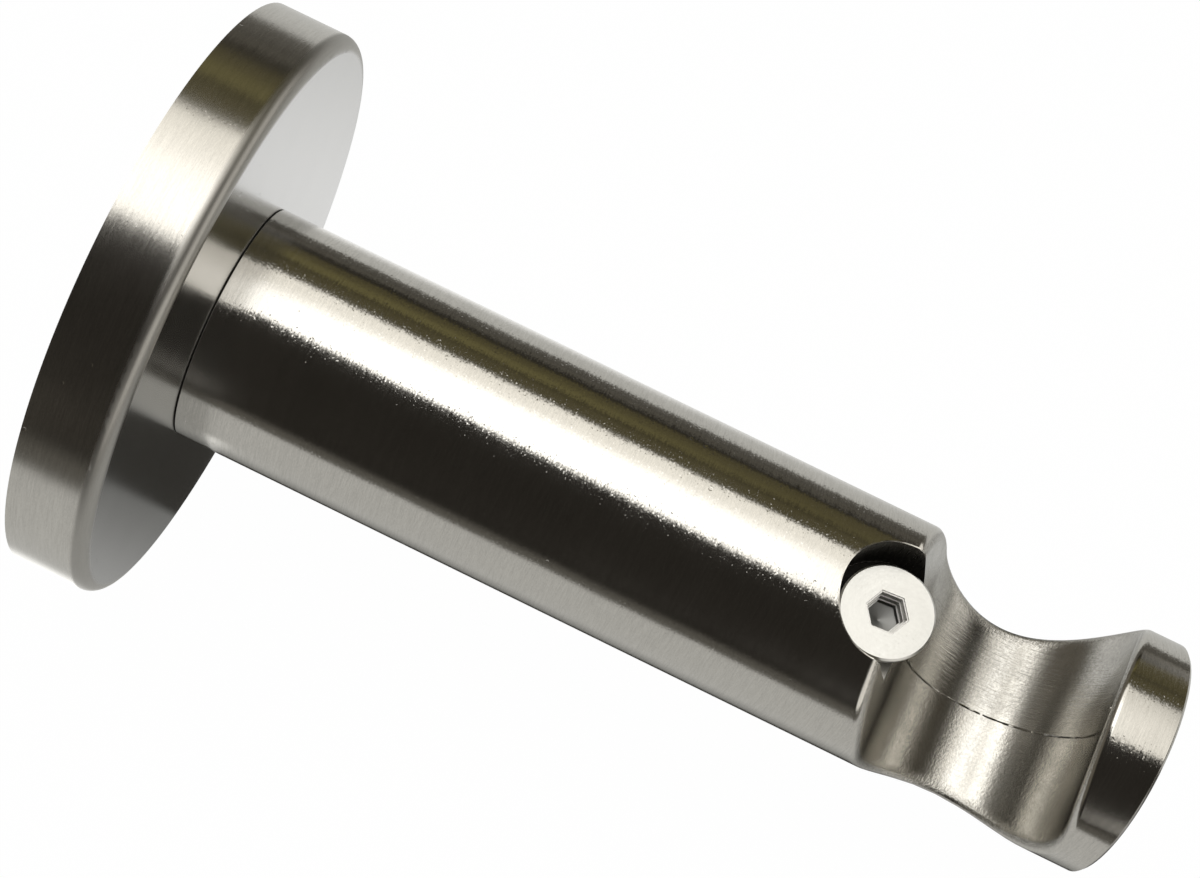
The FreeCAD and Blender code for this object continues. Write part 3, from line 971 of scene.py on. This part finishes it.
def faces_up(face: bmesh.types.BMFace) -> bool:
    """Whether a face looks straight up."""
    return face.normal.z > 0.99


def start_shape(name: str, primitive: Callable[..., set[str]], **sizes: object) -> Piece:
    """Adds a primitive with nothing else selected and opens it in edit mode.

    Args:
        name: The new piece.
        primitive: The operator that adds it.
        sizes: The operator's settings.

    Returns:
        The piece, with its place and turn put into its mesh.
    """
    bpy.ops.object.select_all(action="DESELECT")
    primitive(**sizes)
    piece = bpy.context.object
    piece.name = name
    only(piece)
    bpy.ops.object.transform_apply(location=True, rotation=True, scale=True)
    bpy.ops.object.mode_set(mode="EDIT")
    return piece


def end_shape(piece: Piece, smooth: float) -> None:
    """Closes the edit and shades the piece.

    Args:
        piece: The piece in edit mode.
        smooth: The angle up to which it is shaded smooth.
    """
    bpy.ops.object.mode_set(mode="OBJECT")
    only(piece)
    bpy.ops.object.shade_smooth_by_angle(angle=smooth)


def apply_modifier(piece: Piece, kind: str, **settings: object) -> None:
    """Adds a modifier to the active piece and applies it.

    Args:
        piece: The active piece.
        kind: The modifier's type.
        settings: Its settings.
    """
    modifier = piece.modifiers.new(kind.lower(), kind)
    for name, setting in settings.items():
        setattr(modifier, name, setting)
    bpy.ops.object.modifier_apply(modifier=modifier.name)


def merged_copy(node: str, name: str, weld: float = 0.002 * MM, flat: float = math.radians(0.4)) -> Piece:
    """A copy of a solid with its loose triangles merged and its flat facets joined.

    Args:
        node: The solid in the frame.
        name: The new piece.
        weld: How near two corners are merged.
        flat: How flat an edge is dissolved.

    Returns:
        The copy, at the origin.
    """
    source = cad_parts[node]
    piece = bpy.data.objects.new(name, source.data.copy())
    piece.matrix_world = source.matrix_world
    bpy.context.scene.collection.objects.link(piece)
    only(piece)
    bpy.ops.object.transform_apply(location=True, rotation=True, scale=True)
    if piece.data.has_custom_normals:
        bpy.ops.mesh.customdata_custom_splitnormals_clear()
    bpy.ops.object.mode_set(mode="EDIT")
    bpy.ops.mesh.select_all(action="SELECT")
    bpy.ops.mesh.remove_doubles(threshold=weld)
    bpy.ops.mesh.dissolve_limited(angle_limit=flat)
    bpy.ops.object.mode_set(mode="OBJECT")
    return piece


def settle(piece: Piece, material: Material) -> Piece:
    """Gives a new piece its material, and lets it ride on the root.

    Args:
        piece: The new piece.
        material: Its material.

    Returns:
        The same piece.
    """
    piece.data.materials.clear()
    piece.data.materials.append(material)
    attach(piece, "root")
    return piece


def dress(node: str, material: Material) -> Piece:
    """Gives a solid of the frame its material.

    Args:
        node: The solid's name.
        material: Its material.

    Returns:
        The solid.
    """
    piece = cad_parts[node]
    for slot in piece.material_slots:
        slot.material = material
    return piece


# sub-assemblies


@dataclass
class WallRose:
    """Round cover on the wall."""

    finish: RoseFinish = RoseFinish()

    def build(self) -> list[Piece]:
        """The dressed rose."""
        return [dress("wall_rose", self.finish.build())]


@dataclass
class Arm:
    """Round bar with the saddle for the pole."""

    seat: Triple = (0.0, -93.1 * MM, 2.85 * MM)
    seat_radius: float = 10.2 * MM
    rear_lean: float = math.radians(18.8)
    front_lean: float = math.radians(16.6)
    rim_width: float = 0.34 * MM
    rim_steps: int = 4
    rim_span: Pair = (-106.9 * MM, -70.0 * MM)
    rim_inside: float = 11.3 * MM
    edge_width: float = 0.18 * MM
    edge_steps: int = 2
    bore_radius: float = 6.0 * MM
    bore_margin: float = 0.1 * MM
    burr_radius: float = 6.05 * MM
    burr_start: float = 14.0 * MM
    burr_width: float = 0.12 * MM
    burr_sink: float = 0.08 * MM
    burr_height: float = 0.15 * MM
    burr_steps: int = 120
    burr_worn: float = 0.02 * MM
    ridge_width: float = 0.20 * MM
    ridge_worn: float = 0.05 * MM
    ridge_steps: int = 220
    ridge_sides: int = 6
    rear_run: float = 4.6 * MM
    front_run: float = 5.4 * MM
    run_steps: int = 5
    end_match: float = 0.999
    breaks: tuple[Pair, ...] = ((203.0, 205.0), (231.0, 233.0), (262.0, 263.5), (289.0, 291.0))
    sharp: float = math.radians(30)
    smooth: float = math.radians(35)
    finish: ArmFinish = ArmFinish()

    def build(self) -> list[Piece]:
        """Dresses the arm, rounds its rims, and adds the burr and the casting line.

        Returns:
            The arm and its new pieces.
        """
        material = self.finish.build()
        new = (self.round_rims(), self.raise_burr(), self.draw_casting_line())
        return [dress("arm", material)] + [settle(piece, material) for piece in new]

    def round_rims(self) -> Piece:
        """Rounds over the chamfers of the arm's rims.

        Returns:
            The piece that stands for the arm.
        """
        piece = merged_copy("arm", "arm_rounded")
        bpy.ops.object.mode_set(mode="EDIT")
        pick(Part.EDGE, self.on_rim)
        bpy.ops.mesh.bevel(offset=self.rim_width, segments=self.rim_steps, affect="EDGES",
                           clamp_overlap=False)
        bpy.ops.object.mode_set(mode="OBJECT")
        apply_modifier(piece, "BEVEL", limit_method="ANGLE", angle_limit=self.sharp,
                       width=self.edge_width, segments=self.edge_steps)
        bpy.ops.object.shade_smooth_by_angle(angle=self.smooth)
        apply_modifier(piece, "WEIGHTED_NORMAL", keep_sharp=True)
        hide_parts("arm")
        return piece

    def on_rim(self, edge: bmesh.types.BMEdge) -> bool:
        """Tells whether an edge bounds the chamfer of the saddle's rim.

        Args:
            edge: An edge of the arm.

        Returns:
            True where it does.
        """
        middle = (edge.verts[0].co + edge.verts[1].co) / 2
        low, high = self.rim_span
        placed = low < middle.y < high and math.hypot(middle.x, middle.z) > self.rim_inside
        clear = math.hypot(middle.x, middle.y - SCREW_Y) > self.bore_radius + self.bore_margin
        return placed and clear and edge.calc_face_angle(0.0) > self.sharp

    def raise_burr(self) -> Piece:
        """Adds the burr that the cutter left round the counterbore, an uneven low lip on the bar.

        Returns:
            The burr.
        """
        piece = start_shape("bore_burr", bpy.ops.mesh.primitive_circle_add, vertices=self.burr_steps,
                            radius=self.burr_radius, location=(0, SCREW_Y, self.burr_start))
        bpy.ops.mesh.select_all(action="SELECT")
        bpy.ops.mesh.bisect(plane_co=(0, SCREW_Y, 0), plane_no=(0, -1, 0), clear_outer=True)
        bpy.ops.object.mode_set(mode="OBJECT")
        apply_modifier(piece, "SHRINKWRAP", target=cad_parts["arm"], wrap_method="PROJECT",
                       use_project_z=True, use_negative_direction=True, use_positive_direction=False)
        bpy.ops.object.mode_set(mode="EDIT")
        bpy.ops.mesh.select_all(action="SELECT")
        bpy.ops.transform.translate(value=(0, 0, -self.burr_sink))
        bpy.ops.mesh.extrude_region_move(TRANSFORM_OT_translate={"value": (0, 0, self.burr_height)})
        bpy.ops.object.mode_set(mode="OBJECT")
        apply_modifier(piece, "SOLIDIFY", thickness=self.burr_width, offset=0.0)
        bpy.ops.object.mode_set(mode="EDIT")
        bpy.ops.mesh.select_all(action="SELECT")
        bpy.ops.transform.vertex_random(offset=self.burr_worn, seed=2)
        bpy.ops.mesh.normals_make_consistent(inside=False)
        end_shape(piece, self.sharp)
        return piece

    def draw_casting_line(self) -> Piece:
        """Adds the fine broken ridge where the halves of the mould met, from wall to wall.

        Returns:
            The ridge.
        """
        centre = Vector(self.seat)
        piece = start_shape("casting_line", bpy.ops.mesh.primitive_torus_add, align="WORLD",
                            location=centre, rotation=(0, math.pi / 2, 0),
                            major_segments=self.ridge_steps, minor_segments=self.ridge_sides,
                            major_radius=self.seat_radius, minor_radius=self.ridge_width / 2)
        leans = (self.rear_lean, self.front_lean)
        rear, front = (Vector((0, math.sin(lean), math.cos(lean))) for lean in leans)
        for wall in (rear, front):
            bpy.ops.mesh.select_all(action="SELECT")
            bpy.ops.mesh.bisect(plane_co=centre, plane_no=wall, use_fill=True, clear_outer=True)
        for wall, run, side in ((rear, self.rear_run, 1), (front, self.front_run, -1)):
            pick(Part.FACE, lambda face: (face.normal.dot(wall) > self.end_match
                                          and (face.calc_center_median() - centre).y * side > 0))
            step = wall * run / self.run_steps
            for _ in range(self.run_steps):
                bpy.ops.mesh.extrude_region_move(TRANSFORM_OT_translate={"value": step})
        pick(Part.FACE, lambda face: self.in_break(face.calc_center_median() - centre))
        bpy.ops.mesh.delete(type="FACE")
        bpy.ops.mesh.select_all(action="SELECT")
        bpy.ops.mesh.fill_holes(sides=8)
        bpy.ops.mesh.select_all(action="SELECT")
        bpy.ops.transform.vertex_random(offset=self.ridge_worn, seed=4)
        bpy.ops.mesh.normals_make_consistent(inside=False)
        end_shape(piece, self.smooth)
        return piece

    def in_break(self, offset: Vector) -> bool:
        """Whether a place on the ridge lies in one of its breaks."""
        angle = math.degrees(math.atan2(offset.z, offset.y)) % 360
        return any(low < angle < high for low, high in self.breaks)


@dataclass
class ClampScrew:
    """Flat screw with a hexagon socket, whose head holds the pole down."""

    head_top: float = 7.739 * MM
    flats: float = 3.9 * MM
    socket_turn: float = math.radians(34.5)
    socket_depth: float = 2.4 * MM
    top_gap: float = 0.12 * MM
    wall_gap: float = 0.01 * MM
    step_count: int = 3
    step_width: float = 0.16 * MM
    step_sharp: float = math.radians(20)
    worn: float = 0.015 * MM
    worn_steps: int = 2
    point_depth: float = 1.0 * MM
    point_radius: float = 1.9 * MM
    point_ring: float = 0.36 * MM
    point_sides: int = 32
    point_share: float = 0.8
    point_tip: float = 0.1
    point_smooth: float = math.radians(40)
    finish: ScrewFinish = ScrewFinish()

    def build(self) -> list[Piece]:
        """Dresses the screw, and adds the broach's steps and the drill's point in its socket.

        Returns:
            The screw and its new pieces.
        """
        material = self.finish.build()
        new = (self.cut_steps(), self.sink_point())
        return [dress("clamp_screw", material)] + [settle(piece, material) for piece in new]

    def cut_steps(self) -> Piece:
        """Adds a hexagon sleeve in the socket, stepped inwards towards its floor.

        Returns:
            The sleeve.
        """
        corner = self.flats / 2 / math.cos(math.pi / 6) - self.wall_gap
        stepped = self.socket_depth - self.top_gap
        height = stepped + self.point_depth + self.top_gap
        floor = self.head_top - self.top_gap - height
        # the primitive's first corner stands at a quarter turn from X
        piece = start_shape("socket_steps", bpy.ops.mesh.primitive_cylinder_add, vertices=6,
                            radius=corner, depth=height, location=(0, SCREW_Y, floor + height / 2),
                            rotation=(0, 0, self.socket_turn - math.pi / 6))
        pick(Part.FACE, faces_up)
        drops = [stepped / self.step_count] * self.step_count
        drops[-1] += self.point_depth
        for drop in drops:
            bpy.ops.mesh.inset(thickness=self.step_width)
            bpy.ops.mesh.extrude_region_move(TRANSFORM_OT_translate={"value": (0, 0, -drop)})
        end_shape(piece, self.step_sharp)
        apply_modifier(piece, "BEVEL", limit_method="ANGLE", width=self.worn, segments=self.worn_steps)
        return piece

    def sink_point(self) -> Piece:
        """Adds the floor of the socket, a ring round the cone that the drill left.

        Returns:
            The floor.
        """
        top = self.head_top - self.socket_depth
        piece = start_shape("drill_point", bpy.ops.mesh.primitive_cylinder_add, vertices=self.point_sides,
                            radius=self.point_radius, depth=self.point_depth,
                            location=(0, SCREW_Y, top - self.point_depth / 2))
        pick(Part.FACE, faces_up)
        bpy.ops.mesh.inset(thickness=self.point_ring)
        drop = -self.point_share * self.point_depth
        bpy.ops.mesh.extrude_region_move(TRANSFORM_OT_translate={"value": (0, 0, drop)})
        tip = self.point_tip
        bpy.ops.transform.resize(value=(tip, tip, 1.0), center_override=(0, SCREW_Y, top))
        end_shape(piece, self.point_smooth)
        return piece


@dataclass
class HiddenFixings:
    """Plate and screws inside the rose."""

    nodes: tuple[str, ...] = ("fixing_plate", "arm_screw", "grub_screw")
    finish: ZincPlating = ZincPlating()

    def build(self) -> list[Piece]:
        """The dressed plate and screws."""
        material = self.finish.build()
        return [dress(node, material) for node in self.nodes]


def main() -> None:
    """Builds the studio and the sub-assemblies in order."""
    logging.basicConfig(level=logging.INFO, format="%(name)s: %(message)s")
    Viewpoint().build()
    Studio().build()
    for assembly in (WallRose(), Arm(), ClampScrew(), HiddenFixings()):
        for piece in assembly.build():
            log.info("%s: %s, %d faces", type(assembly).__name__, piece.name, len(piece.data.polygons))


if __name__ == "__main__":
    main()
